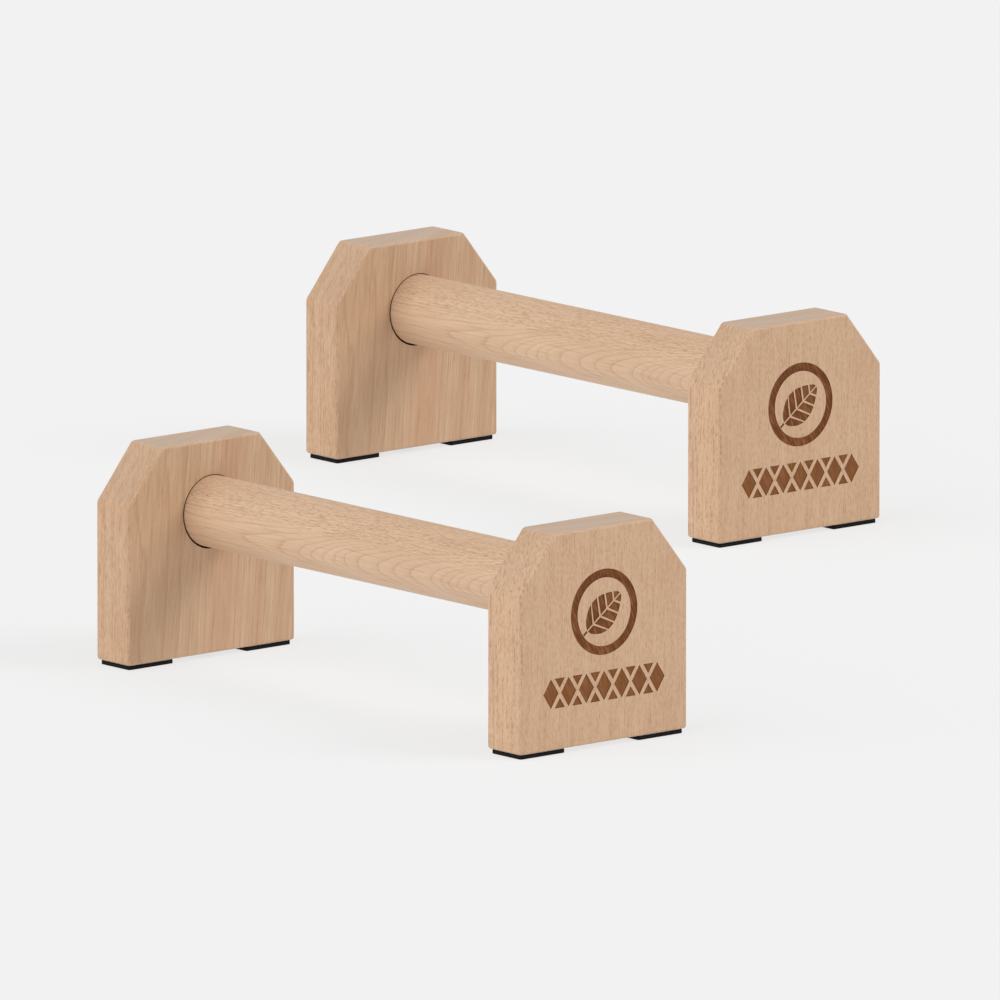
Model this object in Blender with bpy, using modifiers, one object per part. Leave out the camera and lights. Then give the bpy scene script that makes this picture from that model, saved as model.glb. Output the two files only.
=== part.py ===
"""A pair of low wooden parallel bars for the floor.

Each bar is a round beech grip whose ends sit in blind sockets in two upright beech blocks. A wood
screw, driven up from the underside of each block, locks the grip in its socket. Every block stands
on two rubber pads, each held by a film of double-sided adhesive.

Metres, +Z up. The origin is on the floor, below the middle of the pair. The grips lie along X,
with the front blocks at +X. The near bar is at -Y, and the far bar is at +Y and set back along X.
"""

import math

import bmesh
import bpy
from mathutils import Matrix, Vector

# The pair
BAR_SPACING = 0.480  # between the axes of the two grips, along Y
BAR_STAGGER = 0.390  # how far the far bar stands behind the near one, along X

# One bar
BAR_LENGTH = 0.360  # over the outer faces of its blocks
BLOCK_THICKNESS = 0.028  # along X
BLOCK_WIDTH = 0.120  # along Y
BLOCK_HEIGHT = 0.120
CHAMFER_ACROSS = 0.025  # of the two top corners, along Y
CHAMFER_DOWN = 0.031  # of the two top corners, along Z
BLOCK_EDGE_RADIUS = 0.0018
GRIP_DIAMETER = 0.040
GRIP_AXIS_HEIGHT = 0.080  # above the underside of the block
GRIP_END_CHAMFER = 0.001

# Socket for the grip
SOCKET_DEPTH = 0.022
SOCKET_CLEARANCE = 0.00075  # round the grip, on average
SOCKET_DROP = 0.0003  # of the socket's axis below the grip's, so that the gap is widest underneath
GRIP_END_GAP = 0.001  # between the grip's end and the floor of its socket

# Screw that locks the grip
SCREW_SHANK_DIAMETER = 0.005
SCREW_HEAD_DIAMETER = 0.010
SCREW_HEAD_HEIGHT = 0.0032
SCREW_LENGTH = 0.060  # under the head
SCREW_TIP_LENGTH = 0.007
SCREW_DRIVE_WIDTH = 0.0035  # across the flats of the six-sided recess in the head
SCREW_DRIVE_DEPTH = 0.002
COUNTERBORE_DIAMETER = 0.012
COUNTERBORE_DEPTH = 0.013  # up to the seat of the screw's head
SCREW_HOLE_CLEARANCE = 0.0003  # all round the shank, and under the head

# Pads
PAD_LENGTH = 0.032  # along Y
PAD_DEPTH = 0.0246  # along X
PAD_CORNER_RADIUS = 0.0015
PAD_INSET = 0.0017  # from the block's sides
RUBBER_THICKNESS = 0.0022
FILM_THICKNESS = 0.0002
FILM_INSET = 0.0005  # from the pad's edges
FILM_GAP = 0.0001  # between the film and what it joins
STANDING_HEIGHT = RUBBER_THICKNESS + FILM_THICKNESS + 2 * FILM_GAP  # underside of the blocks

# Fineness
EDGE_SEGMENTS = 3
CORNER_STEPS = 4
GRIP_SIDES = 64
HOLE_SIDES = 32
SCREW_SIDES = 24
MERGE_DISTANCE = 0.00001
CUTTER_OVERSHOOT = 0.002

BEECH = (0.60, 0.38, 0.24, 1.0)
GRIP_BEECH = (0.66, 0.45, 0.30, 1.0)
BLACK_RUBBER = (0.012, 0.011, 0.010, 1.0)
CLEAR_ADHESIVE = (0.75, 0.73, 0.68, 1.0)
ZINC_STEEL = (0.62, 0.62, 0.60, 1.0)


def clear_scene():
    """Removes whatever the scene starts with."""
    for obj in list(bpy.data.objects):
        bpy.data.objects.remove(obj, do_unlink=True)


def make_collection(name):
    """A new collection in the scene."""
    collection = bpy.data.collections.new(name)
    bpy.context.scene.collection.children.link(collection)
    return collection


def make_material(name, colour, roughness, metallic=0.0):
    """A plain Principled material."""
    material = bpy.data.materials.new(name)
    material.use_nodes = True
    shader = material.node_tree.nodes["Principled BSDF"]
    shader.inputs["Base Color"].default_value = colour
    shader.inputs["Roughness"].default_value = roughness
    shader.inputs["Metallic"].default_value = metallic
    return material


def place(obj, collection, parent, location):
    """Puts an object in its collection, under its bar's empty."""
    collection.objects.link(obj)
    obj.parent = parent
    obj.location = location
    return obj


def shade_round(mesh, angle=math.radians(40)):
    """Smooth shading, with the sharp edges left sharp."""
    mesh.shade_smooth()
    mesh.set_sharp_from_angle(angle=angle)


def plate_mesh(name, outline, thickness):
    """A flat plate in the XY plane, centred on Z, from the points of its outline."""
    curve = bpy.data.curves.new(name + "_outline", "CURVE")
    curve.dimensions = "2D"
    curve.fill_mode = "BOTH"
    curve.extrude = thickness / 2
    spline = curve.splines.new("POLY")
    spline.points.add(len(outline) - 1)
    for point, (x, y) in zip(spline.points, outline):
        point.co = (x, y, 0, 1)
    spline.use_cyclic_u = True

    drawn = bpy.data.objects.new(name + "_outline", curve)
    bpy.context.scene.collection.objects.link(drawn)
    graph = bpy.context.evaluated_depsgraph_get()
    mesh = bpy.data.meshes.new_from_object(drawn.evaluated_get(graph))
    bpy.data.objects.remove(drawn, do_unlink=True)
    bpy.data.curves.remove(curve)

    mesh.name = name
    mesh.materials.clear()
    shape = bmesh.new()
    shape.from_mesh(mesh)
    bmesh.ops.remove_doubles(shape, verts=shape.verts, dist=MERGE_DISTANCE)
    bmesh.ops.recalc_face_normals(shape, faces=shape.faces)
    shape.to_mesh(mesh)
    shape.free()
    return mesh


def rounded_rectangle(width, depth, radius):
    """The outline of a rectangle with round corners, centred on the origin."""
    points = []
    for corner in range(4):
        start = corner * math.pi / 2
        centre_x = (width / 2 - radius) * (1 if corner in (0, 3) else -1)
        centre_y = (depth / 2 - radius) * (1 if corner in (0, 1) else -1)
        for step in range(CORNER_STEPS + 1):
            angle = start + step / CORNER_STEPS * math.pi / 2
            points.append((centre_x + radius * math.cos(angle), centre_y + radius * math.sin(angle)))
    return points


def block_outline():
    """The block seen along X, as (across, up) points from the middle of its underside."""
    half = BLOCK_WIDTH / 2
    return [
        (-half, 0),
        (half, 0),
        (half, BLOCK_HEIGHT - CHAMFER_DOWN),
        (half - CHAMFER_ACROSS, BLOCK_HEIGHT),
        (-half + CHAMFER_ACROSS, BLOCK_HEIGHT),
        (-half, BLOCK_HEIGHT - CHAMFER_DOWN),
    ]


def add_bevel(obj, width, segments):
    """Rounds the edges of a piece."""
    bevel = obj.modifiers.new("rounded_edges", "BEVEL")
    bevel.width = width
    bevel.segments = segments
    bevel.limit_method = "ANGLE"
    bevel.angle_limit = math.radians(30)


def add_cut(obj, cutter):
    """Cuts a piece with a cutter, which shows only as wire."""
    cut = obj.modifiers.new("cut_" + cutter.name, "BOOLEAN")
    cut.operation = "DIFFERENCE"
    cut.solver = "EXACT"
    cut.object = cutter


def cylinder_mesh(name, diameter, length, sides):
    """A cylinder along Z, centred on the origin."""
    mesh = bpy.data.meshes.new(name)
    shape = bmesh.new()
    bmesh.ops.create_cone(
        shape,
        cap_ends=True,
        segments=sides,
        radius1=diameter / 2,
        radius2=diameter / 2,
        depth=length,
    )
    shape.to_mesh(mesh)
    shape.free()
    return mesh


def make_cutter(name, mesh, parent, location, rotation=(0, 0, 0)):
    """A hidden cutter, placed under its bar's empty."""
    cutter = bpy.data.objects.new(name, mesh)
    cutter.display_type = "WIRE"
    cutter.hide_render = True
    place(cutter, cutters, parent, location)
    cutter.rotation_euler = rotation
    return cutter


def make_block(name, side, parent):
    """An end block. Side is 1 for the front block and -1 for the rear one."""
    mesh = plate_mesh(name, block_outline(), BLOCK_THICKNESS)
    mesh.transform(Matrix(((0, 0, 1, 0), (1, 0, 0, 0), (0, 1, 0, 0), (0, 0, 0, 1))))
    mesh.materials.append(block_beech)
    block_x = side * (BAR_LENGTH - BLOCK_THICKNESS) / 2
    block = place(bpy.data.objects.new(name, mesh), parts, parent, (block_x, 0, 0))
    add_bevel(block, BLOCK_EDGE_RADIUS, EDGE_SEGMENTS)

    socket_length = SOCKET_DEPTH + CUTTER_OVERSHOOT
    inner_face_x = side * (BAR_LENGTH / 2 - BLOCK_THICKNESS)
    socket = make_cutter(
        name + "_socket",
        cylinder_mesh(
            name + "_socket", GRIP_DIAMETER + 2 * SOCKET_CLEARANCE, socket_length, GRIP_SIDES
        ),
        parent,
        (
            inner_face_x + side * (SOCKET_DEPTH - socket_length / 2),
            0,
            GRIP_AXIS_HEIGHT - SOCKET_DROP,
        ),
        (0, math.pi / 2, 0),
    )
    add_cut(block, socket)
    for cutter in screw_hole_cutters(name, side, parent):
        add_cut(block, cutter)
    return block


def screw_x(side):
    """Where the screw's axis stands: in the middle of the part of the grip that is in the socket."""
    return side * (BAR_LENGTH / 2 - BLOCK_THICKNESS + (SOCKET_DEPTH - GRIP_END_GAP) / 2)


def screw_hole_cutters(name, side, parent):
    """The counterbore, and the hole for the shank up through the block and into the grip."""
    counterbore_length = COUNTERBORE_DEPTH + CUTTER_OVERSHOOT
    counterbore = make_cutter(
        name + "_counterbore",
        cylinder_mesh(
            name + "_counterbore", COUNTERBORE_DIAMETER, counterbore_length, HOLE_SIDES
        ),
        parent,
        (screw_x(side), 0, COUNTERBORE_DEPTH - counterbore_length / 2),
    )
    hole_diameter = SCREW_SHANK_DIAMETER + 2 * SCREW_HOLE_CLEARANCE
    hole_top = COUNTERBORE_DEPTH + SCREW_LENGTH + CUTTER_OVERSHOOT
    hole = make_cutter(
        name + "_screw_hole",
        cylinder_mesh(name + "_screw_hole", hole_diameter, hole_top, HOLE_SIDES),
        parent,
        (screw_x(side), 0, hole_top / 2),
    )
    return counterbore, hole


def make_grip(name, parent):
    """The round bar between the sockets, with a small chamfer on each end."""
    length = BAR_LENGTH - 2 * (BLOCK_THICKNESS - SOCKET_DEPTH + GRIP_END_GAP)
    mesh = cylinder_mesh(name, GRIP_DIAMETER, length, GRIP_SIDES)
    mesh.transform(Matrix.Rotation(math.pi / 2, 4, "Y"))
    mesh.materials.append(grip_beech)
    grip = place(bpy.data.objects.new(name, mesh), parts, parent, (0, 0, GRIP_AXIS_HEIGHT))
    add_bevel(grip, GRIP_END_CHAMFER, 1)
    shade_round(mesh)
    return grip


def screw_profile():
    """The outer side of the screw as (radius, height) points, from the tip down to the head."""
    shank = SCREW_SHANK_DIAMETER / 2
    head = SCREW_HEAD_DIAMETER / 2
    edge = 0.0004
    return [
        (0, SCREW_LENGTH),
        (shank * 0.3, SCREW_LENGTH - 0.001),
        (shank, SCREW_LENGTH - SCREW_TIP_LENGTH),
        (shank, 0),
        (head - edge, 0),
        (head, -edge),
        (head, -SCREW_HEAD_HEIGHT + edge),
        (head - edge, -SCREW_HEAD_HEIGHT),
        (0, -SCREW_HEAD_HEIGHT),
    ]


def make_screw(name, side, parent):
    """The screw, turned about Z, with its head down and a six-sided recess in the head."""
    mesh = bpy.data.meshes.new(name)
    profile = bmesh.new()
    corners = [profile.verts.new((radius, 0, height)) for radius, height in screw_profile()]
    for start, end in zip(corners, corners[1:]):
        profile.edges.new((start, end))
    profile.to_mesh(mesh)
    profile.free()
    mesh.materials.append(zinc_steel)

    head_seat = COUNTERBORE_DEPTH - SCREW_HOLE_CLEARANCE
    screw = place(bpy.data.objects.new(name, mesh), parts, parent, (screw_x(side), 0, head_seat))
    turn = screw.modifiers.new("turned", "SCREW")
    turn.axis = "Z"
    turn.steps = SCREW_SIDES
    turn.render_steps = SCREW_SIDES
    turn.use_merge_vertices = True
    turn.merge_threshold = MERGE_DISTANCE
    turn.use_smooth_shade = True

    drive_length = SCREW_DRIVE_DEPTH + CUTTER_OVERSHOOT
    across_corners = SCREW_DRIVE_WIDTH / math.cos(math.pi / 6)
    drive = make_cutter(
        name + "_drive",
        cylinder_mesh(name + "_drive", across_corners, drive_length, 6),
        parent,
        (
            screw_x(side),
            0,
            head_seat - SCREW_HEAD_HEIGHT + SCREW_DRIVE_DEPTH - drive_length / 2,
        ),
    )
    add_cut(screw, drive)
    return screw


def make_layer(name, material, inset, thickness, underside, place_xy, parent):
    """A flat layer of a pad, with round corners: the rubber, or the adhesive film."""
    outline = rounded_rectangle(
        PAD_DEPTH - 2 * inset, PAD_LENGTH - 2 * inset, PAD_CORNER_RADIUS - inset
    )
    mesh = plate_mesh(name, outline, thickness)
    mesh.materials.append(material)
    centre = (*place_xy, underside + thickness / 2 - STANDING_HEIGHT)
    return place(bpy.data.objects.new(name, mesh), parts, parent, centre)


def make_pad(block_name, side, hand, parent):
    """A rubber pad and its film. Hand is 1 for the pad at +Y and -1 for the one at -Y."""
    hand_name = "left" if hand > 0 else "right"
    centre = (
        side * (BAR_LENGTH - BLOCK_THICKNESS) / 2,
        hand * (BLOCK_WIDTH / 2 - PAD_INSET - PAD_LENGTH / 2),
    )
    make_layer(
        f"{block_name}_pad_{hand_name}", black_rubber, 0, RUBBER_THICKNESS, 0, centre, parent
    )
    make_layer(
        f"{block_name}_film_{hand_name}",
        clear_adhesive,
        FILM_INSET,
        FILM_THICKNESS,
        RUBBER_THICKNESS + FILM_GAP,
        centre,
        parent,
    )


def make_bar(name, middle):
    """One whole bar. Its empty is on the undersides of its blocks, below the middle of its grip."""
    stand = bpy.data.objects.new(name + "_bar", None)
    parts.objects.link(stand)
    stand.location = middle + Vector((0, 0, STANDING_HEIGHT))
    grip = make_grip(name + "_grip", stand)
    for side, end_name in ((1, "front"), (-1, "rear")):
        block_name = f"{name}_{end_name}"
        make_block(block_name + "_block", side, stand)
        hole = bpy.data.objects[block_name + "_block_screw_hole"]
        add_cut(grip, hole)
        make_screw(block_name + "_screw", side, stand)
        for hand in (-1, 1):
            make_pad(block_name, side, hand, stand)


clear_scene()
parts = make_collection("parallel_bars")
cutters = make_collection("cutters")
block_beech = make_material("block_beech", BEECH, 0.55)
grip_beech = make_material("grip_beech", GRIP_BEECH, 0.50)
black_rubber = make_material("black_rubber", BLACK_RUBBER, 0.80)
clear_adhesive = make_material("clear_adhesive", CLEAR_ADHESIVE, 0.45)
zinc_steel = make_material("zinc_steel", ZINC_STEEL, 0.35, metallic=1.0)
make_bar("near", Vector((BAR_STAGGER / 2, -BAR_SPACING / 2, 0)))
make_bar("far", Vector((-BAR_STAGGER / 2, BAR_SPACING / 2, 0)))
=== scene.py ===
"""Looks for a pair of low wooden parallel bars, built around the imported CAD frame.

Every CAD node is remade as a finer mesh in its own place and rides on its own body. Lengths are in
metres and the axes are the frame's: +X along the grips, towards the blocks that carry the mark,
+Y from the near bar to the far one, +Z up. The patterns of the materials are in millimetres. Rings
and fibres run through a piece as through one solid, so that its faces, chamfers and end grain fit
together. The ray flecks of a block have a pattern for each kind of side.
"""

import math

import bmesh
import bpy
from mathutils import Matrix, Vector


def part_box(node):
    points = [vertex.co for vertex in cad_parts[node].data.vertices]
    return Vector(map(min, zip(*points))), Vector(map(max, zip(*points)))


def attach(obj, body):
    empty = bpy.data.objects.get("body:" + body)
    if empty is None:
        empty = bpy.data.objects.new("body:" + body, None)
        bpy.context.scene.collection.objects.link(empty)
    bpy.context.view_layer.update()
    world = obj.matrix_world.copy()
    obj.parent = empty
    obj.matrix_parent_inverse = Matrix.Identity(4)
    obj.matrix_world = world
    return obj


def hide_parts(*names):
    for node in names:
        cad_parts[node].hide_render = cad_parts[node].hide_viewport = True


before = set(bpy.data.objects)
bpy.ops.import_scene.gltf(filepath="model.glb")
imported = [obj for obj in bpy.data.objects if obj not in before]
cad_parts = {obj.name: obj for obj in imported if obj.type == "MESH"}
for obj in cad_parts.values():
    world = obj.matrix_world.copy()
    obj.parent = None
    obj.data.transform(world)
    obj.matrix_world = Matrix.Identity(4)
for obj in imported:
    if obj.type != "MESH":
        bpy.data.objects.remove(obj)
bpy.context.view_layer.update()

# Camera
VIEW_AZIMUTH = math.radians(49.52)
VIEW_ELEVATION = math.radians(10.85)
VIEW_DISTANCE = 20.0
VIEW_AIM = Vector((0.0059, 0.0005, 0.0533))
VIEW_LENS_MM = 1293.4
VIEW_FAR_END = 100

# Studio
FLOOR_REACH = 30
FLOOR_DROP = 0.0001
FLOOR_GREY = 0.18
FLOOR_GLOW = 0.704
SURROUND_GLOW = 0.50

# The two ends of a bar: which way along X each lies from the bar's middle
ENDS = {"front": 1, "rear": -1}

# Blocks
BLOCK_CHAMFER_ACROSS = 0.025
BLOCK_CHAMFER_DOWN = 0.031
BLOCK_EDGE_RADIUS = 0.0018
BLOCK_EDGE_SEGMENTS = 6
SOCKET_CLEARANCE = 0.00075
SOCKET_DROP = 0.0003
SOCKET_DEPTH = 0.022
COUNTERBORE_DIAMETER = 0.012
COUNTERBORE_DEPTH = 0.013
COUNTERBORE_SIDES = 64
SCREW_HOLE_DIAMETER = 0.0056
SCREW_HOLE_TOP = 0.075
SCREW_HOLE_SIDES = 48

# Mark burned into the outer face of the front blocks: a leaf in a ring, over a band of diamonds
# and triangles
MARK_DEPTH = 0.0003
RING_HEIGHT = 0.0725
RING_RADIUS = 0.0238
RING_WIDTH = 0.0048
RING_SIDES = 96
LEAF_LENGTH = 0.031
LEAF_WIDTH = 0.020
LEAF_BELLY_SHIFT = 0.85
LEAF_POINTEDNESS = 0.8
LEAF_LOBES = 5
LEAF_VEIN = 0.0009
LEAF_VEIN_SLANT = 0.0055
LEAF_LEAN = math.radians(52)
LEAF_EDGE_STEPS = 8
STEM_LENGTH = 0.0032
STEM_WIDTH = 0.0013
BAND_HEIGHT = 0.0315
BAND_DIAMONDS = 7
BAND_PITCH = 0.0127
DIAMOND_WIDTH = 0.0108
DIAMOND_HEIGHT = 0.0165
TRIANGLE_WIDTH = 0.0072
TRIANGLE_HEIGHT = 0.0055

# Grips
GRIP_SIDES = 160
GRIP_END_RADIUS = 0.001
GRIP_END_GAP = 0.001
GRIP_HOLE_PAST_SCREW = 0.002

# Screws, in heights above the face of the head, which points down. The head is (height, radius).
SCREW_HEAD_PROFILE = (
    (0.0, 0.0042),
    (0.0004, 0.0047),
    (0.0012, 0.0050),
    (0.0025, 0.0050),
    (0.0032, 0.0044),
)
SCREW_SHANK_RADIUS = 0.0019
SCREW_SMOOTH_TOP = 0.022
SCREW_CORE_RADIUS = 0.0016
SCREW_CREST_RADIUS = 0.0025
SCREW_PITCH = 0.0024
SCREW_RIDGE_SHARE = 0.5
SCREW_STEPS_PER_TURN = 8
SCREW_TIP_LENGTH = 0.007
SCREW_TIP_RADIUS = 0.0002
SCREW_SIDES = 24
RECESS_RADIUS = 0.0016
RECESS_LOBES = 6
RECESS_LOBE_DEPTH = 0.0003
RECESS_STEPS = 72
RECESS_DEPTH = 0.0020

# Pads
PAD_CORNER_RADIUS = 0.0015
PAD_CORNER_STEPS = 8
PAD_EDGE_RADIUS = 0.00025

# Meshes
CUT_OVERSHOOT = 0.001
RIM_SEGMENTS = 3
ROUND_PROFILE = 0.5
LEVEL_TOLERANCE = 0.000001
SHARP_ANGLE = math.radians(35)
FLAT_FACE_WEIGHT = 100

MM_PER_METRE = 1000.0

# Beech, in mm: the sizes of its patterns, two across the grain and one along it, and how far the
# grain strays from straight over long stretches and short ones
WANDER_SIZE = (45, 45, 170)
WANDER_REACH = 7.0
RIPPLE_SIZE = (7, 7, 30)
RIPPLE_REACH = 0.9
CLOUD_SIZE = (24, 24, 110)
STREAK_SIZE = (0.65, 0.65, 30)
PORE_SIZE = (0.5, 0.5, 1.2)
FIBRE_SIZE = (0.3, 0.3, 5)

# Beech, in years: how many share a stripe of colour, and how unevenly wide the rings are
STRIPE_YEARS = 5
UNEVEN_YEARS = 6
UNEVEN_REACH = 5.0

# Beech: how much each pattern colours it at most
CLOUD_SHARE = 0.4
LATE_SHARE = 0.24
LATE_SLOW_PART = 0.4
LATE_LINE_PART = 0.6
STREAK_SHARE = 0.20
STREAK_LOSS_ON_SLOPES = 0.7
DARK_WEAVE_SHARE = 0.34
PALE_WEAVE_SHARE = 0.24
SPINDLE_SHARE = 0.40
# The greying of level faces is partly end grain and partly painted sheen
END_AND_SHEEN_SHARE = 0.9
END_STRIPE_SHARE = 0.6
END_LATE_SHARE = 0.30

# Beech: its relief, as parts of a depth in metres, and its roughness, with what a fleck adds
BEECH_RELIEF = 0.00004
FIBRE_RISE = 0.3
FLECK_DIP = 0.1
BEECH_ROUGHNESS = 0.50
FLECK_ROUGHNESS = 0.14

# Ray flecks on flat sides, in mm: how far a pattern reaches into the wood, how much it leans on
# chamfers, and the lines in which the flecks stand
FLECK_REACH = 40.0
SLOPE_LEAN = 0.55
COLUMN_LENGTH = 20.0
COLUMN_PUSH = 0.45

# The mark's scorched wood: the slant of its grain, and the heights in mm between which it turns
# from the leaf's tone to the band's paler one
CHAR_SLANT = math.radians(-24)
CHAR_FADE_TOP = 46.0
CHAR_FADE_FOOT = 43.0
CHAR_CLOUD_SHARE = 0.5
CHAR_FADE_SHARE = 0.45

# Zinc: its roughness, and what scratches add
ZINC_ROUGHNESS = 0.22
SCRATCH_ROUGHNESS = 0.25


# --------------------------------------------------------------------------------------- colours


def linear(red, green, blue):
    """A colour given in display values from 0 to 255, as the linear values that shaders take."""
    shares = [value / 255 for value in (red, green, blue)]
    return (*(s / 12.92 if s <= 0.04045 else ((s + 0.055) / 1.055) ** 2.4 for s in shares), 1.0)


# Three shades of each kind of wood: light, pinker and browner
FRONT_SHADES = (linear(208, 172, 140), linear(205, 165, 132), linear(192, 153, 119))
REAR_SHADES = (linear(207, 174, 142), linear(197, 156, 124), linear(187, 148, 114))
GRIP_SHADES = (linear(216, 184, 154), linear(210, 175, 143), linear(202, 166, 135))
BEECH_PALE = linear(226, 194, 160)
BEECH_FLECK = linear(154, 106, 68)
BEECH_RING = linear(158, 106, 64)
# Greyer tones for level faces: end grain, and partly painted sheen of light grazing the tops
BEECH_END_SHEEN = linear(204, 182, 162)
BEECH_END_SHEEN_PORE = linear(194, 169, 146)
BEECH_END_SHEEN_STRIPE = linear(190, 166, 142)
CHAR_DARK = linear(104, 56, 20)
CHAR_PALE = linear(142, 92, 52)
CHAR_DEEP = linear(92, 46, 14)
# Dark brown of the holes' walls and of the grip's ends in the sockets: partly the drill's scorch,
# and partly painted shade inside the holes
BORE_SCORCH_SHADE_DARK = linear(98, 56, 24)
BORE_SCORCH_SHADE_PALE = linear(132, 84, 44)
RUBBER_DARK = linear(14, 8, 4)
RUBBER_DUST = linear(31, 23, 17)
FILM_CLEAR = linear(226, 222, 212)
FILM_MILKY = linear(240, 238, 232)
ZINC_BLUE = linear(196, 200, 206)
ZINC_BRIGHT = linear(222, 222, 218)
WHITE = (1, 1, 1, 1)


# ---------------------------------------------------------------------------------------- meshes


def mesh_from(shape, name, *materials):
    """Turns a bmesh into a mesh of those materials, with its faces pointing out."""
    bmesh.ops.recalc_face_normals(shape, faces=shape.faces)
    mesh = bpy.data.meshes.new(name)
    shape.to_mesh(mesh)
    shape.free()
    for material in materials:
        mesh.materials.append(material)
    return mesh


def add_solid(shape, corners, reach):
    """Adds a closed solid to a bmesh: a flat face with those corners, drawn out along reach."""
    face = shape.faces.new([shape.verts.new(corner) for corner in corners])
    grown = bmesh.ops.extrude_face_region(shape, geom=[face])
    moved = [part for part in grown["geom"] if isinstance(part, bmesh.types.BMVert)]
    bmesh.ops.translate(shape, verts=moved, vec=reach)


def add_prism(shape, outline, low, high):
    """Adds a closed prism to a bmesh: an outline of (y, z) points, from x = low to x = high."""
    add_solid(shape, [(low, y, z) for y, z in outline], (high - low, 0, 0))


def add_cylinder(shape, radius, low, high, sides):
    """Adds a closed cylinder along Z to a bmesh."""
    bmesh.ops.create_cone(
        shape,
        cap_ends=True,
        segments=sides,
        radius1=radius,
        radius2=radius,
        depth=high - low,
        matrix=Matrix.Translation((0, 0, (low + high) / 2)),
    )


def add_skin(shape, loops, closed=False):
    """Adds the faces between each loop of corners and the next.

    A closed skin also has the faces between the last loop and the first.
    """
    following = loops[1:] + loops[:1] if closed else loops[1:]
    for lower, upper in zip(loops, following):
        for index in range(len(lower)):
            beside = (index + 1) % len(lower)
            shape.faces.new((lower[index], lower[beside], upper[beside], upper[index]))


def round_edges(shape, edges, radius, segments):
    """Rounds some edges of a bmesh."""
    bmesh.ops.bevel(
        shape,
        geom=edges,
        offset=radius,
        segments=segments,
        profile=ROUND_PROFILE,
        affect="EDGES",
    )


def level_edges(shape):
    """The edges of a bmesh that run level, such as the rims of an upright cylinder."""
    return [
        edge
        for edge in shape.edges
        if abs(edge.verts[0].co.z - edge.verts[1].co.z) < LEVEL_TOLERANCE
    ]


def circle(radius, centre_y, centre_z, sides):
    """A round outline, as (y, z) points."""
    turns = [2 * math.pi * step / sides for step in range(sides)]
    return [(centre_y + radius * math.cos(a), centre_z + radius * math.sin(a)) for a in turns]


def new_object(name, mesh, place=(0, 0, 0), turn=(0, 0, 0)):
    """An object in the scene."""
    obj = bpy.data.objects.new(name, mesh)
    bpy.context.scene.collection.objects.link(obj)
    obj.location = place
    obj.rotation_euler = turn
    return obj


def cut_away(obj, cutters):
    """Cuts the cutters out of obj and removes them. The cut faces take the cutters' materials."""
    for cutter in cutters:
        cut = obj.modifiers.new("cut", "BOOLEAN")
        cut.operation = "DIFFERENCE"
        cut.solver = "EXACT"
        cut.material_mode = "TRANSFER"
        cut.object = cutter
    bpy.context.view_layer.update()
    graph = bpy.context.evaluated_depsgraph_get()
    mesh = bpy.data.meshes.new_from_object(obj.evaluated_get(graph))
    obj.modifiers.clear()
    obj.data = mesh
    for cutter in cutters:
        bpy.data.objects.remove(cutter, do_unlink=True)


def shade_smooth(obj):
    """Shades obj smooth between its sharp edges, with its flat faces kept flat."""
    obj.data.shade_smooth()
    obj.data.set_sharp_from_angle(angle=SHARP_ANGLE)
    flat = obj.modifiers.new("flat_faces_lead", "WEIGHTED_NORMAL")
    flat.keep_sharp = True
    flat.weight = FLAT_FACE_WEIGHT


def node_place(node):
    """The middle of a CAD node's underside, and its size."""
    low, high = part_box(node)
    return Vector(((low.x + high.x) / 2, (low.y + high.y) / 2, low.z)), high - low


# ------------------------------------------------------------------------------------- materials


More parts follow.
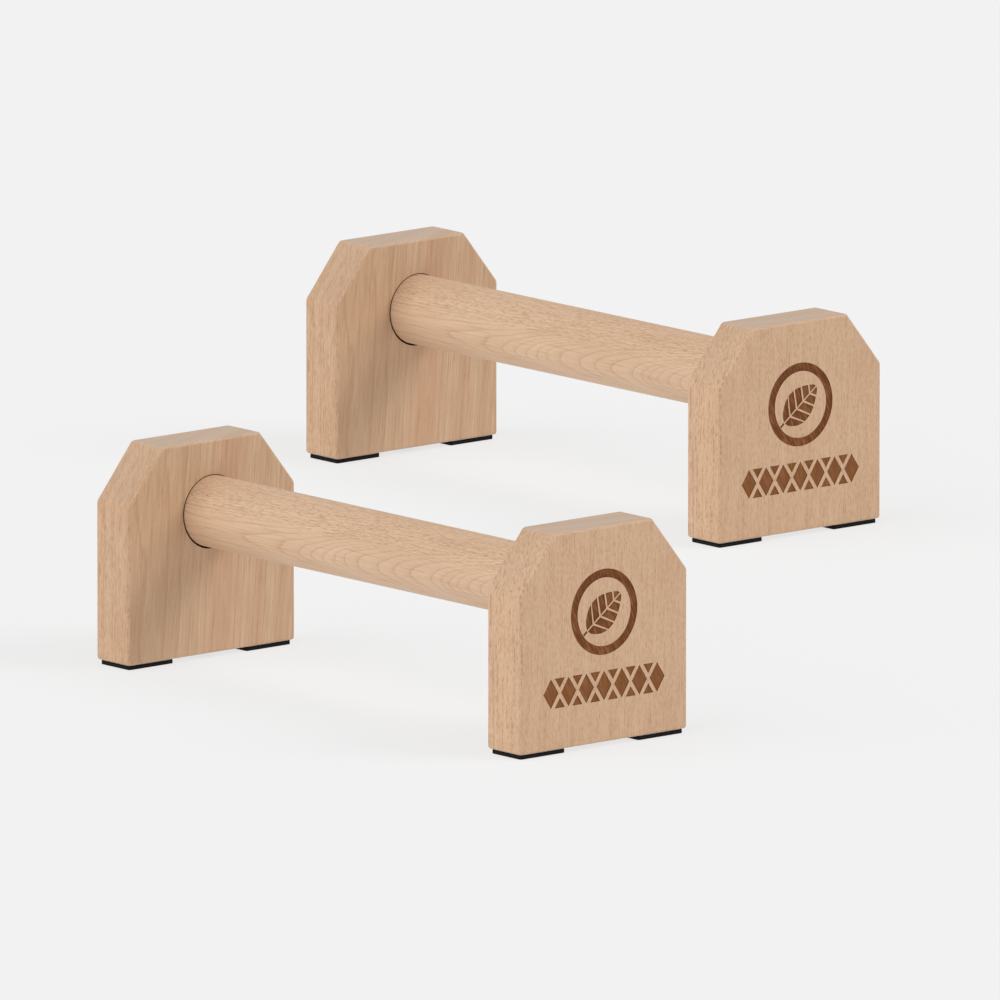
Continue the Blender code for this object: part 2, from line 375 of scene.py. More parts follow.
class Finish:
    """A material under construction, with a short way to add each kind of node."""

    def __init__(self, name, specular=0.5, metallic=0.0):
        self.material = bpy.data.materials.new(name)
        self.material.use_nodes = True
        self.nodes = self.material.node_tree.nodes
        self.shader = self.nodes["Principled BSDF"]
        self.shader.inputs["Specular IOR Level"].default_value = specular
        self.shader.inputs["Metallic"].default_value = metallic

    def connect(self, value, socket):
        """Links a node's output to a socket, or sets the socket to a plain value."""
        if isinstance(value, bpy.types.NodeSocket):
            self.material.node_tree.links.new(value, socket)
        else:
            socket.default_value = value

    def surface(self, colour, roughness):
        """Gives the shader its colour and roughness, each a node's output or a plain value."""
        self.connect(colour, self.shader.inputs["Base Color"])
        self.connect(roughness, self.shader.inputs["Roughness"])

    def bump(self, height, depth):
        """Relief from a height of 0 to 1, over that depth in metres."""
        node = self.nodes.new("ShaderNodeBump")
        node.inputs["Distance"].default_value = depth
        self.connect(height, node.inputs["Height"])
        self.connect(node.outputs["Normal"], self.shader.inputs["Normal"])

    def place_in_mm(self):
        """Where a point is on the piece."""
        place = self.nodes.new("ShaderNodeTexCoord").outputs["Object"]
        return self.scaled(place, MM_PER_METRE)

    def facing(self):
        """Which way the surface faces, in the piece's own axes."""
        return self.nodes.new("ShaderNodeTexCoord").outputs["Normal"]

    def math(self, operation, *values):
        """One step of arithmetic."""
        node = self.nodes.new("ShaderNodeMath")
        node.operation = operation
        for value, socket in zip(values, node.inputs):
            self.connect(value, socket)
        return node.outputs[0]

    def vector_math(self, operation, *values):
        """One step of arithmetic on vectors."""
        node = self.nodes.new("ShaderNodeVectorMath")
        node.operation = operation
        for value, socket in zip(values, node.inputs):
            self.connect(value, socket)
        return node.outputs["Value" if operation in ("LENGTH", "DOT_PRODUCT") else "Vector"]

    def scaled(self, vector, factor):
        """A vector times one number."""
        node = self.nodes.new("ShaderNodeVectorMath")
        node.operation = "SCALE"
        self.connect(vector, node.inputs["Vector"])
        node.inputs["Scale"].default_value = factor
        return node.outputs["Vector"]

    def part(self, vector, axis):
        """One coordinate of a vector."""
        node = self.nodes.new("ShaderNodeSeparateXYZ")
        self.connect(vector, node.inputs["Vector"])
        return node.outputs[axis]

    def unsigned(self, vector, axis):
        """One coordinate of a vector, without its sign."""
        return self.math("ABSOLUTE", self.part(vector, axis))

    def joined(self, x, y=0.0, z=0.0):
        """A vector of three coordinates."""
        node = self.nodes.new("ShaderNodeCombineXYZ")
        for value, axis in zip((x, y, z), "XYZ"):
            self.connect(value, node.inputs[axis])
        return node.outputs["Vector"]

    def noise(self, vector, size, seed, detail=2.0, roughness=0.5, output="Fac"):
        """Noise whose blobs have that size, (x, y, z), in the units of vector."""
        stretched = self.vector_math("DIVIDE", vector, size)
        node = self.nodes.new("ShaderNodeTexNoise")
        node.noise_dimensions = "4D"
        self.connect(stretched, node.inputs["Vector"])
        node.inputs["W"].default_value = seed
        node.inputs["Scale"].default_value = 1.0
        node.inputs["Detail"].default_value = detail
        node.inputs["Roughness"].default_value = roughness
        return node.outputs[output]

    def between(self, value, low, high):
        """0 where value is low, 1 where it is high, and a smooth ramp from one to the other."""
        node = self.nodes.new("ShaderNodeMapRange")
        node.interpolation_type = "SMOOTHSTEP"
        self.connect(value, node.inputs["Value"])
        node.inputs["From Min"].default_value = low
        node.inputs["From Max"].default_value = high
        return node.outputs["Result"]

    def shared(self, share, first, second):
        """Two numbers mixed by a share from 0 to 1."""
        rest = self.math("MULTIPLY", first, self.math("SUBTRACT", 1.0, share))
        return self.math("ADD", rest, self.math("MULTIPLY", second, share))

    def mix(self, share, first, second):
        """Two colours mixed by a share from 0 to 1."""
        node = self.nodes.new("ShaderNodeMix")
        node.data_type = "RGBA"
        self.connect(share, node.inputs["Factor"])
        self.connect(first, node.inputs["A"])
        self.connect(second, node.inputs["B"])
        return node.outputs["Result"]


class Beech(Finish):
    """Sanded beech with its grain along the piece's own Z, or leaning from it by slant along Y.

    Place is where a point is in straight wood, and grain where it is in wood that strays. Sloping
    is 1 on chamfers and on level faces, and 0 on upright ones.
    """

    def __init__(self, name, seed, slant):
        super().__init__(name, specular=0.35)
        self.seed = seed
        upright = self.place_in_mm()
        lean = self.math("MULTIPLY", self.part(upright, "Z"), slant)
        self.place = self.vector_math("SUBTRACT", upright, self.joined(0.0, lean))
        wandering = self.strayed(self.place, WANDER_SIZE, WANDER_REACH, seed)
        self.grain = self.strayed(wandering, RIPPLE_SIZE, RIPPLE_REACH, seed + 1)
        self.normal = self.facing()
        self.upward = self.unsigned(self.normal, "Z")
        self.sloping = self.between(self.upward, 0.2, 0.5)

    def strayed(self, start, size, reach, seed):
        """Points moved to and fro by up to half of reach, alike within blobs of that size."""
        noise = self.noise(self.place, size, seed, detail=1.0, output="Color")
        centred = self.vector_math("SUBTRACT", noise, (0.5, 0.5, 0.5))
        return self.vector_math("ADD", start, self.scaled(centred, reach))

    def years(self, pith, year, rise, swell):
        """Which year each point of the trunk grew in, counted from the pith.

        The pith is the (x, y) of the middle of the trunk in mm, and year the width of a ring. Rise
        and swell lift the rings as they run along the grain, so that they come out of a long side
        as arches.
        """
        across = self.vector_math("SUBTRACT", self.grain, (*pith, 0))
        radius = self.vector_math("LENGTH", self.vector_math("MULTIPLY", across, (1, 1, 0)))
        if rise:
            along = self.part(self.grain, "Z")
            slope = self.math("ADD", rise, self.math("MULTIPLY", along, swell))
            radius = self.math("ADD", radius, self.math("MULTIPLY", along, slope))
        count = self.math("DIVIDE", radius, year)
        uneven = self.noise(self.joined(count), (UNEVEN_YEARS, 1, 1), self.seed + 2, detail=1.0)
        return self.math("ADD", count, self.math("MULTIPLY", uneven, UNEVEN_REACH))

    def late_wood(self, count):
        """The darkness of each year: it grows slowly, ends in a thin line, and starts again."""
        share = self.math("FRACT", count)
        slow = self.math("MULTIPLY", self.between(share, 0.35, 0.95), LATE_SLOW_PART)
        line = self.math("MULTIPLY", self.between(share, 0.78, 0.92), LATE_LINE_PART)
        return self.math("MULTIPLY", self.math("ADD", slow, line), self.between(share, 1.0, 0.95))

    def striped(self, stripe, shades, bands):
        """The ground colour: stripes of pinker wood that follow the rings, and browner clouds."""
        light, pink, shade = shades
        pinker = self.math("MULTIPLY", self.between(stripe, 0.40, 0.62), bands)
        cloud = self.noise(self.grain, CLOUD_SIZE, self.seed + 5)
        browner = self.math("MULTIPLY", self.between(cloud, 0.42, 0.72), CLOUD_SHARE)
        return self.mix(browner, self.mix(pinker, light, pink), shade)

    def with_fibres(self, colour, fibres):
        """Adds long fine streaks, darker and paler, which fade where the grain is cut across."""
        loss = self.math("MULTIPLY", self.sloping, STREAK_LOSS_ON_SLOPES)
        lengthwise = self.math("SUBTRACT", 1.0, loss)
        strength = self.math("MULTIPLY", lengthwise, STREAK_SHARE * fibres)
        streak = self.noise(self.grain, STREAK_SIZE, self.seed + 11, detail=3.0, roughness=0.6)
        dark = self.math("MULTIPLY", self.between(streak, 0.5, 0.75), strength)
        pale = self.math("MULTIPLY", self.between(streak, 0.5, 0.25), strength)
        return self.mix(pale, self.mix(dark, colour, BEECH_FLECK), BEECH_PALE)

    def side_noise(self, facing_x, size, seed, detail):
        """Noise on a block that doesn't change with depth under its sides.

        Facing_x is 1 on the sides that face along X, and 0 on the others. Size is across the
        grain, along it, and along it on the chamfers.
        """
        across, along, along_slope = size
        on_front = self.noise(self.place, (FLECK_REACH, across, along), seed, detail)
        on_side = self.noise(self.place, (across, FLECK_REACH, along), seed + 0.5, detail)
        lean = self.math("MULTIPLY", self.part(self.place, "Z"), SLOPE_LEAN)
        leaning = self.vector_math("ADD", self.place, self.joined(lean))
        on_slope = self.noise(leaning, (across, FLECK_REACH, along_slope), seed + 0.7, detail)
        return self.shared(facing_x, self.shared(self.sloping, on_side, on_slope), on_front)

    def flat_flecks(self, size):
        """The weave and the spindles of ray flecks on flat sides, where they stand in lines."""
        facing_x = self.between(self.unsigned(self.normal, "X"), 0.35, 0.75)
        weave = self.side_noise(facing_x, size, self.seed + 13, detail=1.0)
        spindle = self.side_noise(facing_x, size, self.seed + 15, detail=0.0)
        column_size = (size[0], COLUMN_LENGTH, size[2])
        columns = self.side_noise(facing_x, column_size, self.seed + 21, detail=0.0)
        push = self.math("MULTIPLY", self.math("SUBTRACT", columns, 0.5), COLUMN_PUSH)
        return self.math("ADD", weave, push), self.math("ADD", spindle, push)

    def round_flecks(self, size):
        """The weave and the spindles of ray flecks all through a round piece."""
        across, weave_along, spindle_along = size
        weave = self.noise(self.place, (across, across, weave_along), self.seed + 13, detail=1.0)
        spindle_size = (across, across, spindle_along)
        spindle = self.noise(self.place, spindle_size, self.seed + 15, detail=0.0)
        return weave, spindle

    def facing_share(self, towards, base):
        """1 where the surface faces a way, and base where it faces across it or away."""
        on_side = self.math("MULTIPLY", self.between(towards, 0.1, 0.6), 1.0 - base)
        return self.math("ADD", on_side, base)

    def with_weave(self, colour, weave, strength):
        """Adds a dense weave of faint flecks, darker and paler."""
        dark = self.math("MULTIPLY", self.between(weave, 0.5, 0.66), strength)
        pale = self.math("MULTIPLY", self.between(weave, 0.5, 0.34), strength)
        colour = self.mix(self.math("MULTIPLY", dark, DARK_WEAVE_SHARE), colour, BEECH_FLECK)
        return self.mix(self.math("MULTIPLY", pale, PALE_WEAVE_SHARE), colour, BEECH_PALE)

    def with_end_grain_and_sheen(self, colour, stripe, late):
        """Makes level faces greyer, with pores in place of streaks: end grain and painted sheen.
        """
        pores = self.noise(self.place, PORE_SIZE, self.seed + 17)
        grey = self.mix(self.between(pores, 0.38, 0.66), BEECH_END_SHEEN, BEECH_END_SHEEN_PORE)
        striped = self.math("MULTIPLY", self.between(stripe, 0.42, 0.58), END_STRIPE_SHARE)
        grey = self.mix(striped, grey, BEECH_END_SHEEN_STRIPE)
        grey = self.mix(self.math("MULTIPLY", late, END_LATE_SHARE), grey, BEECH_FLECK)
        # Level faces greyer: end grain, and partly painted sheen
        end = self.math("MULTIPLY", self.between(self.upward, 0.50, 1.0), END_AND_SHEEN_SHARE)
        return self.mix(end, colour, grey)

    def relief(self, fleck):
        """Fine fibres that stand out, and flecks that lie a little deeper."""
        fibre = self.noise(self.place, FIBRE_SIZE, self.seed + 19)
        raised = self.math("MULTIPLY", fibre, FIBRE_RISE)
        return self.math("SUBTRACT", raised, self.math("MULTIPLY", fleck, FLECK_DIP))


def beech(
    name,
    seed,
    pith,
    year,
    shades,
    rings,
    bands,
    fibres,
    flecks,
    fleck_base,
    fleck_size,
    rise=0.0,
    swell=0.0,
    slant=0.0,
    fleck_side=(0, 1, 0),
    flat_sides=True,
):
    """Sanded beech, cut from a trunk with its pith there and rings of that year's width.

    Rings, bands and fibres set how strongly the ring lines, the broad stripes of colour and the
    long fine streaks show. Flecks sets the short dark ray flecks. They are strongest on the sides
    that face along fleck_side, and elsewhere have the share fleck_base of that. On flat sides
    their size is across the grain, along it, and along it on chamfers. On a round piece it is
    across the grain, and along it for the faint and for the dark ones.
    """
    wood = Beech(name, seed, slant)
    count = wood.years(pith, year, rise, swell)
    late = wood.late_wood(count)
    stripe = wood.noise(wood.joined(count), (STRIPE_YEARS, 1, 1), seed + 3)
    colour = wood.striped(stripe, shades, bands)
    colour = wood.mix(wood.math("MULTIPLY", late, LATE_SHARE * rings), colour, BEECH_RING)
    colour = wood.with_fibres(colour, fibres)

    towards = wood.vector_math("DOT_PRODUCT", wood.normal, fleck_side)
    if flat_sides:
        towards = wood.math("ABSOLUTE", towards)
        weave, spindle = wood.flat_flecks(fleck_size)
    else:
        weave, spindle = wood.round_flecks(fleck_size)
    strength = wood.math("MULTIPLY", wood.facing_share(towards, fleck_base), flecks)
    fleck = wood.math("MULTIPLY", wood.between(spindle, 0.60, 0.72), strength)
    colour = wood.with_weave(colour, weave, strength)
    colour = wood.mix(wood.math("MULTIPLY", fleck, SPINDLE_SHARE), colour, BEECH_FLECK)
    # Level faces greyer: end grain, and partly painted sheen
    colour = wood.with_end_grain_and_sheen(colour, stripe, late)

    rougher = wood.math("MULTIPLY", fleck, FLECK_ROUGHNESS)
    wood.surface(colour, wood.math("ADD", BEECH_ROUGHNESS, rougher))
    wood.bump(wood.relief(fleck), BEECH_RELIEF)
    return wood.material


def scorched_and_shaded_wall(name):
    """A hole's wall in beech: dark brown, partly the drill's scorch, partly painted shade."""
    wall = Finish(name, specular=0.05)
    ridges = wall.noise(wall.place_in_mm(), (0.35, 3.0, 3.0), seed=8.0)
    wall.surface(wall.mix(ridges, BORE_SCORCH_SHADE_DARK, BORE_SCORCH_SHADE_PALE), roughness=0.9)
    wall.bump(ridges, depth=0.0001)
    return wall.material


def burned(name, seed):
    """Wood browned by a hot mark, with the grain showing through as paler slanting streaks."""
    char = Finish(name, specular=0.25)
    place = char.place_in_mm()
    slant = char.nodes.new("ShaderNodeMapping")
    slant.inputs["Rotation"].default_value = (CHAR_SLANT, 0, 0)
    char.connect(place, slant.inputs["Vector"])
    streak = char.noise(slant.outputs["Vector"], (1.0, 1.0, 8.0), seed, roughness=0.6)
    colour = char.mix(char.between(streak, 0.38, 0.68), CHAR_DARK, CHAR_PALE)
    cloud = char.noise(place, (9.0, 9.0, 9.0), seed + 2)
    deeper = char.math("MULTIPLY", char.between(cloud, 0.4, 0.7), CHAR_CLOUD_SHARE)
    colour = char.mix(deeper, colour, CHAR_DEEP)
    low = char.between(char.part(place, "Z"), CHAR_FADE_TOP, CHAR_FADE_FOOT)
    colour = char.mix(char.math("MULTIPLY", low, CHAR_FADE_SHARE), colour, CHAR_PALE)
    char.surface(colour, roughness=0.8)
    char.bump(streak, depth=0.00008)
    return char.material


def rubber(name):
    """Matt black rubber sheet with a fine grain and a little dust."""
    sheet = Finish(name, specular=0.2)
    place = sheet.place_in_mm()
    dust = sheet.noise(place, (1.6, 1.6, 1.6), seed=2.0, detail=4.0, roughness=0.7)
    colour = sheet.mix(sheet.between(dust, 0.45, 0.8), RUBBER_DARK, RUBBER_DUST)
    sheet.surface(colour, roughness=0.78)
    sheet.bump(sheet.noise(place, (0.25, 0.25, 0.25), seed=5.0), depth=0.00006)
    return sheet.material


def adhesive(name):
    """Milky double-sided film, a little cloudy."""
    film = Finish(name)
    cloud = film.noise(film.place_in_mm(), (3.0, 3.0, 3.0), seed=1.0, detail=3.0)
    film.surface(film.mix(cloud, FILM_CLEAR, FILM_MILKY), roughness=0.4)
    return film.material


def zinc(name):
    """Bright zinc-plated steel, with faint rolling marks round the screw."""
    steel = Finish(name, metallic=1.0)
    place = steel.place_in_mm()
    bloom = steel.noise(place, (1.5, 1.5, 1.5), seed=4.0, detail=3.0)
    scratch = steel.noise(place, (2.0, 2.0, 0.08), seed=6.0)
    rougher = steel.math("MULTIPLY", scratch, SCRATCH_ROUGHNESS)
    roughness = steel.math("ADD", ZINC_ROUGHNESS, rougher)
    steel.surface(steel.mix(bloom, ZINC_BLUE, ZINC_BRIGHT), roughness)
    return steel.material


# -------------------------------------------------------------------------------------- the mark


def leaf_half_width(along):
    """Half the leaf's width, a share along its length from the stem."""
    return LEAF_WIDTH / 2 * math.sin(math.pi * along**LEAF_BELLY_SHIFT) ** LEAF_POINTEDNESS


def leaf_vein_end(vein):
    """How far along the leaf a side vein reaches its edge.

    Vein 0 is the foot of the leaf, and the last one is its tip.
    """
    if vein == 0:
        return LEAF_VEIN
    slant = LEAF_VEIN_SLANT * (1 - (vein / LEAF_LOBES) ** 2)
    return min(vein * LEAF_LENGTH / LEAF_LOBES + slant, LEAF_LENGTH - LEAF_VEIN)


def leaf_lobe(lobe):
    """One lobe to the right of the middle vein, with the leaf's foot at the origin."""
    gap = LEAF_VEIN / 2
    step = LEAF_LENGTH / LEAF_LOBES
    start = leaf_vein_end(lobe) + gap
    end = leaf_vein_end(lobe + 1) - gap
    points = [(gap, lobe * step + gap), (gap, (lobe + 1) * step - LEAF_VEIN)]
    for index in range(LEAF_EDGE_STEPS + 1):
        along = end + (start - end) * index / LEAF_EDGE_STEPS
        points.append((max(leaf_half_width(along / LEAF_LENGTH), LEAF_VEIN), along))
    return points


def leaf_outlines():
    """The lobes of a leaf between its veins, and its stem, upright and centred on the origin."""
    outlines = []
    for side in (-1, 1):
        for lobe in range(LEAF_LOBES):
            outlines.append([(side * y, z - LEAF_LENGTH / 2) for y, z in leaf_lobe(lobe)])
    half = STEM_WIDTH / 2
    top = -LEAF_LENGTH / 2
    foot = top - STEM_LENGTH
    outlines.append([(-half, foot), (half, foot), (half, top), (-half, top)])
    return outlines


def turned(outline, angle):
    """An outline of (y, z) points, turned clockwise round the origin."""
    cos, sin = math.cos(angle), math.sin(angle)
    return [(y * cos + z * sin, z * cos - y * sin) for y, z in outline]


def band_outlines():
    """A row of diamonds, with a triangle above and below between each two."""
    outlines = []
    for index in range(BAND_DIAMONDS):
        y = (index - (BAND_DIAMONDS - 1) / 2) * BAND_PITCH
        outlines.append([
            (y, BAND_HEIGHT - DIAMOND_HEIGHT / 2),
            (y + DIAMOND_WIDTH / 2, BAND_HEIGHT),
            (y, BAND_HEIGHT + DIAMOND_HEIGHT / 2),
            (y - DIAMOND_WIDTH / 2, BAND_HEIGHT),
        ])
    for index in range(BAND_DIAMONDS - 1):
        y = (index - (BAND_DIAMONDS - 2) / 2) * BAND_PITCH
        for way in (-1, 1):
            edge = BAND_HEIGHT + way * DIAMOND_HEIGHT / 2
            outlines.append([
                (y - TRIANGLE_WIDTH / 2, edge),
                (y + TRIANGLE_WIDTH / 2, edge),
                (y, edge - way * TRIANGLE_HEIGHT),
            ])
    return outlines


def add_ring(shape, low, high):
    """Adds the flat ring round the leaf."""
    inner = RING_RADIUS - RING_WIDTH
    loops = []
    for radius, x in ((RING_RADIUS, low), (RING_RADIUS, high), (inner, high), (inner, low)):
        outline = circle(radius, 0, RING_HEIGHT, RING_SIDES)
        loops.append([shape.verts.new((x, y, z)) for y, z in outline])
    add_skin(shape, loops, closed=True)


def mark_cutter(face_x, material):
    """What the mark takes out of the block's outer face, at x = face_x."""
    low = face_x - MARK_DEPTH
    high = face_x + CUT_OVERSHOOT
    shape = bmesh.new()
    for outline in leaf_outlines():
        leaning = [(y, RING_HEIGHT + z) for y, z in turned(outline, LEAF_LEAN)]
        add_prism(shape, leaning, low, high)
    for outline in band_outlines():
        add_prism(shape, outline, low, high)
    add_ring(shape, low, high)
    return mesh_from(shape, "mark_cutter", material)


# ---------------------------------------------------------------------------------------- pieces


def claim(piece, node, body):
    """The piece stands for its CAD node and moves with its body."""
    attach(piece, body)
    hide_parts(node)


def drill(name, radius, low, high, sides):
    """The mesh that cuts an upright round hole, with walls of scorch and painted shade."""
    shape = bmesh.new()
    add_cylinder(shape, radius, low, high, sides)
    return mesh_from(shape, name, scorch_and_painted_shade)


def block_outline(width, height):
    """The block seen along X, with its two top corners cut off, as (y, z) points."""
    half = width / 2
    shoulder = height - BLOCK_CHAMFER_DOWN
    return [
        (-half, 0),
        (half, 0),
        (half, shoulder),
        (half - BLOCK_CHAMFER_ACROSS, height),
        (-half + BLOCK_CHAMFER_ACROSS, height),
        (-half, shoulder),
    ]


def socket_cutter(bar, end, place, size):
    """The blind hole for the grip, from the block's inner face."""
    grip_low, grip_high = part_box(bar + "_grip")
    height = (grip_low.z + grip_high.z) / 2 - place.z
    radius = (grip_high.z - grip_low.z) / 2 + SOCKET_CLEARANCE
    socket = drill("socket", radius, -CUT_OVERSHOOT, SOCKET_DEPTH, GRIP_SIDES)
    inner_face = Matrix.Translation((-ENDS[end] * size.x / 2, 0, height - SOCKET_DROP))
    socket.transform(inner_face @ Matrix.Rotation(ENDS[end] * math.pi / 2, 4, "Y"))
    return socket


def screw_cutters(bar, end, place):
    """The counterbore for the screw's head, and the hole for its shank."""
    radius = COUNTERBORE_DIAMETER / 2
    counterbore = drill(
        "counterbore", radius, -CUT_OVERSHOOT, COUNTERBORE_DEPTH, COUNTERBORE_SIDES
    )
    radius = SCREW_HOLE_DIAMETER / 2
    hole = drill("screw_hole", radius, COUNTERBORE_DEPTH / 2, SCREW_HOLE_TOP, SCREW_HOLE_SIDES)
    screw_place, _ = node_place(f"{bar}_{end}_screw")
    for cutter in (counterbore, hole):
        cutter.transform(Matrix.Translation((screw_place.x - place.x, 0, 0)))
    return [counterbore, hole]


def make_block(bar, end, wood, mark=None):
    """An end block: rounded edges, the socket for the grip, the screw's hole, and perhaps a mark.

    The piece's origin is on the block's underside, and its own axes are the frame's.
    """
    node = f"{bar}_{end}_block"
    place, size = node_place(node)
    shape = bmesh.new()
    add_prism(shape, block_outline(size.y, size.z), -size.x / 2, size.x / 2)
    round_edges(shape, shape.edges[:], BLOCK_EDGE_RADIUS, BLOCK_EDGE_SEGMENTS)
    block = new_object(node + "_wood", mesh_from(shape, node + "_wood", wood), place)
    meshes = [socket_cutter(bar, end, place, size), *screw_cutters(bar, end, place)]
    if mark:
        meshes.append(mark_cutter(size.x / 2, mark))
    cut_away(block, [new_object("cutter", mesh, place) for mesh in meshes])
    shade_smooth(block)
    claim(block, node, bar + "_bar")


def part_ends(shape, bare):
    """Gives a grip's ends, past bare from its middle, the second material: painted shade."""
    for height in (-bare, bare):
        bmesh.ops.bisect_plane(
            shape,
            geom=shape.verts[:] + shape.edges[:] + shape.faces[:],
            plane_co=(0, 0, height),
            plane_no=(0, 0, 1),
        )
    for face in shape.faces:
        face.material_index = int(abs(face.calc_center_median().z) > bare)


def make_grip(bar, wood):
    """The round bar. Its own Z runs along the frame's X, so that its grain runs along it.

    Its ends, which are in the sockets, are as dark as the walls round them, as painted shade.
    """
    node = bar + "_grip"
    low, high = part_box(node)
    half_length = (high.x - low.x) / 2
    shape = bmesh.new()
    add_cylinder(shape, (high.z - low.z) / 2, -half_length, half_length, GRIP_SIDES)
    round_edges(shape, level_edges(shape), GRIP_END_RADIUS, RIM_SEGMENTS)
    part_ends(shape, half_length + GRIP_END_GAP - SOCKET_DEPTH)
    # The second material paints shade on the grip's ends inside the sockets
    mesh = mesh_from(shape, node + "_wood", wood, scorch_and_painted_shade)
    grip = new_object(node + "_wood", mesh, (low + high) / 2, (0, math.pi / 2, 0))
    cutters = []
    for end in ENDS:
        screw_place, screw_size = node_place(f"{bar}_{end}_screw")
        top = screw_size.z + GRIP_HOLE_PAST_SCREW
        hole = drill("screw_hole", SCREW_HOLE_DIAMETER / 2, 0, top, SCREW_HOLE_SIDES)
        cutters.append(new_object("cutter", hole, screw_place))
    cut_away(grip, cutters)
    shade_smooth(grip)
    claim(grip, node, bar + "_bar")


def rounded_rectangle(width, depth, radius, steps):
    """A rectangle with round corners, as (x, y) points round its middle."""
    points = []
    for corner in range(4):
        centre_x = (width / 2 - radius) * (1 if corner in (0, 3) else -1)
        centre_y = (depth / 2 - radius) * (1 if corner in (0, 1) else -1)
        for step in range(steps + 1):
            angle = (corner + step / steps) * math.pi / 2
            x = centre_x + radius * math.cos(angle)
            y = centre_y + radius * math.sin(angle)
            points.append((x, y))
    return points


def make_layer(node, body, material, edge_radius=0):
    """A flat layer under a block: a rubber pad or its adhesive film."""
    place, size = node_place(node)
    outline = rounded_rectangle(size.x, size.y, PAD_CORNER_RADIUS, PAD_CORNER_STEPS)
    shape = bmesh.new()
    add_solid(shape, [(x, y, 0) for x, y in outline], (0, 0, size.z))
    if edge_radius:
        round_edges(shape, level_edges(shape), edge_radius, RIM_SEGMENTS)
    mesh = mesh_from(shape, node + "_layer", material)
    layer = new_object(node + "_layer", mesh, place)
    shade_smooth(layer)
    claim(layer, node, body)


def screw_radius(height, turn, length):
    """How thick the screw is at a height, a share of a turn round it."""
    if height < SCREW_SMOOTH_TOP:
        return SCREW_SHANK_RADIUS
    phase = (height / SCREW_PITCH - turn) % 1
    ridge = max(0.0, 1 - abs(phase - 0.5) * 2 / SCREW_RIDGE_SHARE)
    radius = SCREW_CORE_RADIUS + (SCREW_CREST_RADIUS - SCREW_CORE_RADIUS) * ridge
    taper = min(1.0, (length - height) / SCREW_TIP_LENGTH)
    return max(radius * taper, SCREW_TIP_RADIUS)


def screw_rows(length):
    """The screw as rows of (height, radii round it), from the face of its head to its tip."""
    turns = [side / SCREW_SIDES for side in range(SCREW_SIDES)]
    rows = [(height, [radius] * SCREW_SIDES) for height, radius in SCREW_HEAD_PROFILE]
    start = SCREW_HEAD_PROFILE[-1][0]
    count = math.ceil((length - start) / SCREW_PITCH * SCREW_STEPS_PER_TURN)
    for step in range(count + 1):
        height = start + (length - start) * step / count
        rows.append((height, [screw_radius(height, turn, length) for turn in turns]))
    return rows


def screw_loop(shape, height, radii):
    """Adds the corners of one row of a screw to a bmesh."""
    loop = []
    for side, radius in enumerate(radii):
        angle = 2 * math.pi * side / SCREW_SIDES
        corner = (radius * math.cos(angle), radius * math.sin(angle), height)
        loop.append(shape.verts.new(corner))
    return loop


def recess_cutter():
    """The six-lobed recess in the face of a screw's head."""
    outline = []
    for step in range(RECESS_STEPS):
        angle = 2 * math.pi * step / RECESS_STEPS
        radius = RECESS_RADIUS + RECESS_LOBE_DEPTH * math.cos(RECESS_LOBES * angle)
        outline.append((radius * math.cos(angle), radius * math.sin(angle)))
    shape = bmesh.new()
    add_prism(shape, outline, -RECESS_DEPTH, CUT_OVERSHOOT)
    recess = mesh_from(shape, "recess", screw_zinc)
    recess.transform(Matrix.Rotation(math.pi / 2, 4, "Y"))
    return recess


def make_screw(node, body):
    """A wood screw with a rolled thread and a six-lobed recess in its head."""
    place, size = node_place(node)
    shape = bmesh.new()
    loops = [screw_loop(shape, height, radii) for height, radii in screw_rows(size.z)]
    add_skin(shape, loops)
    shape.faces.new(loops[0])
    shape.faces.new(loops[-1])
    mesh = mesh_from(shape, node + "_thread", screw_zinc)
    screw = new_object(node + "_thread", mesh, place)
    cut_away(screw, [new_object("cutter", recess_cutter(), place)])
    shade_smooth(screw)
    claim(screw, node, body)


def make_bar(bar):
    """Every piece of one bar."""
    body = bar + "_bar"
    make_block(bar, "front", front_beech, burned_mark)
    make_block(bar, "rear", rear_beech)
    make_grip(bar, grip_beech)
    for end in ENDS:
        for hand in ("left", "right"):
            pad = f"{bar}_{end}_pad_{hand}"
            film = f"{bar}_{end}_film_{hand}"
            make_layer(pad, body, pad_rubber, PAD_EDGE_RADIUS)
            make_layer(film, body, pad_film)
        make_screw(f"{bar}_{end}_screw", body)


# ------------------------------------------------------------------------------------ the studio


def make_floor():
    """A plain pale floor, with a glow that evens out its shadows."""
    shape = bmesh.new()
    bmesh.ops.create_grid(shape, x_segments=1, y_segments=1, size=FLOOR_REACH)
    paint = Finish("floor_paint", specular=0.0)
    paint.surface((FLOOR_GREY, FLOOR_GREY, FLOOR_GREY, 1), roughness=0.9)
    paint.shader.inputs["Emission Color"].default_value = WHITE
    paint.shader.inputs["Emission Strength"].default_value = FLOOR_GLOW
    mesh = mesh_from(shape, "floor", paint.material)
    floor = new_object("floor", mesh, (0, 0, -FLOOR_DROP))


def direction(azimuth, elevation):
    """The direction with that azimuth (0 is -Y, and a quarter turn is +X) and elevation."""
    level = math.cos(elevation)
    return Vector((math.sin(azimuth) * level, -math.cos(azimuth) * level, math.sin(elevation)))


def make_sun(name, azimuth, elevation, strength, softness):
    """A soft distant light that shines from that azimuth and elevation, in degrees."""
    light = bpy.data.lights.new(name, "SUN")
    light.energy = strength
    light.angle = math.radians(softness)
    sun = new_object(name, light)
    source = direction(math.radians(azimuth), math.radians(elevation))
    sun.rotation_euler = source.to_track_quat("Z", "Y").to_euler()


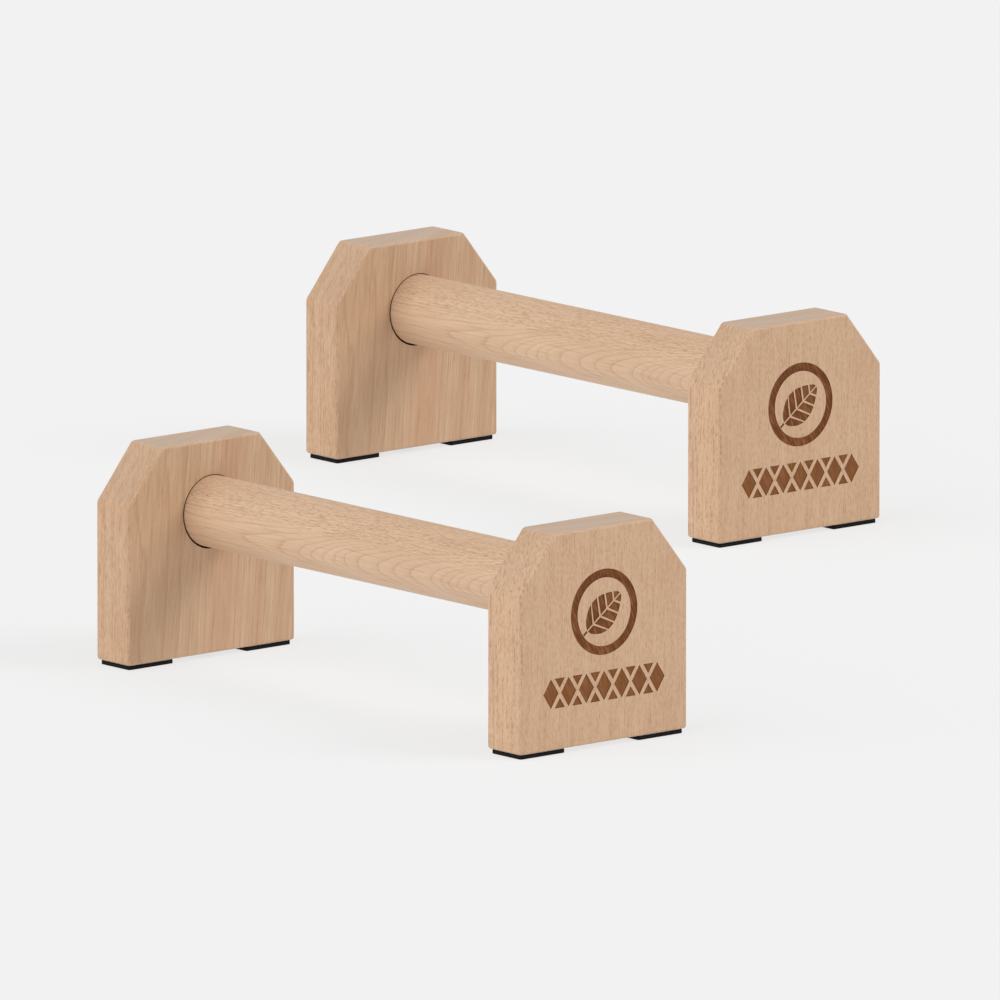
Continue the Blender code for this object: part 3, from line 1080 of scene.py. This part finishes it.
def make_surround():
    """An even pale surround."""
    world = bpy.data.worlds.new("studio")
    bpy.context.scene.world = world
    world.use_nodes = True
    background = world.node_tree.nodes["Background"]
    background.inputs["Color"].default_value = WHITE
    background.inputs["Strength"].default_value = SURROUND_GLOW


def make_camera():
    """The camera, far off with a long lens."""
    camera = new_object("camera", bpy.data.cameras.new("camera"))
    camera.data.lens = VIEW_LENS_MM
    camera.data.clip_end = VIEW_FAR_END
    back = direction(VIEW_AZIMUTH, VIEW_ELEVATION)
    camera.location = VIEW_AIM + back * VIEW_DISTANCE
    camera.rotation_euler = back.to_track_quat("Z", "Y").to_euler()
    bpy.context.scene.camera = camera


bpy.context.scene.view_settings.view_transform = "Standard"
make_camera()
make_floor()
make_surround()
make_sun("left_softbox", azimuth=-10, elevation=35, strength=1.46, softness=60)
make_sun("right_softbox", azimuth=130, elevation=40, strength=1.27, softness=30)

front_beech = beech(
    "front_beech",
    seed=1.0,
    pith=(-300, 40),
    year=1.7,
    shades=FRONT_SHADES,
    rings=0.3,
    bands=0.3,
    fibres=0.6,
    flecks=1.15,
    fleck_base=0.59,
    fleck_size=(0.45, 2.5, 2.0),
)
rear_beech = beech(
    "rear_beech",
    seed=32.0,
    pith=(-150, -70),
    year=2.0,
    shades=REAR_SHADES,
    rings=1.0,
    bands=0.8,
    fibres=2.5,
    flecks=0.7,
    fleck_base=0.25,
    fleck_size=(0.50, 2.8, 3.0),
    slant=0.09,
)
grip_beech = beech(
    "grip_beech",
    seed=58.0,
    pith=(-39, 145),
    year=1.0,
    shades=GRIP_SHADES,
    rings=1.15,
    bands=0.7,
    fibres=2.1,
    flecks=0.9,
    fleck_base=0.15,
    fleck_size=(0.55, 5.0, 4.0),
    rise=0.07,
    swell=0.00021,
    fleck_side=(-1, 0, 0),
    flat_sides=False,
)
# Hole walls and the grip's ends in the sockets: scorch and painted shade
scorch_and_painted_shade = scorched_and_shaded_wall("scorch_and_painted_shade")
burned_mark = burned("burned_mark", seed=72.0)
pad_rubber = rubber("pad_rubber")
pad_film = adhesive("pad_film")
screw_zinc = zinc("screw_zinc")
make_bar("near")
make_bar("far")
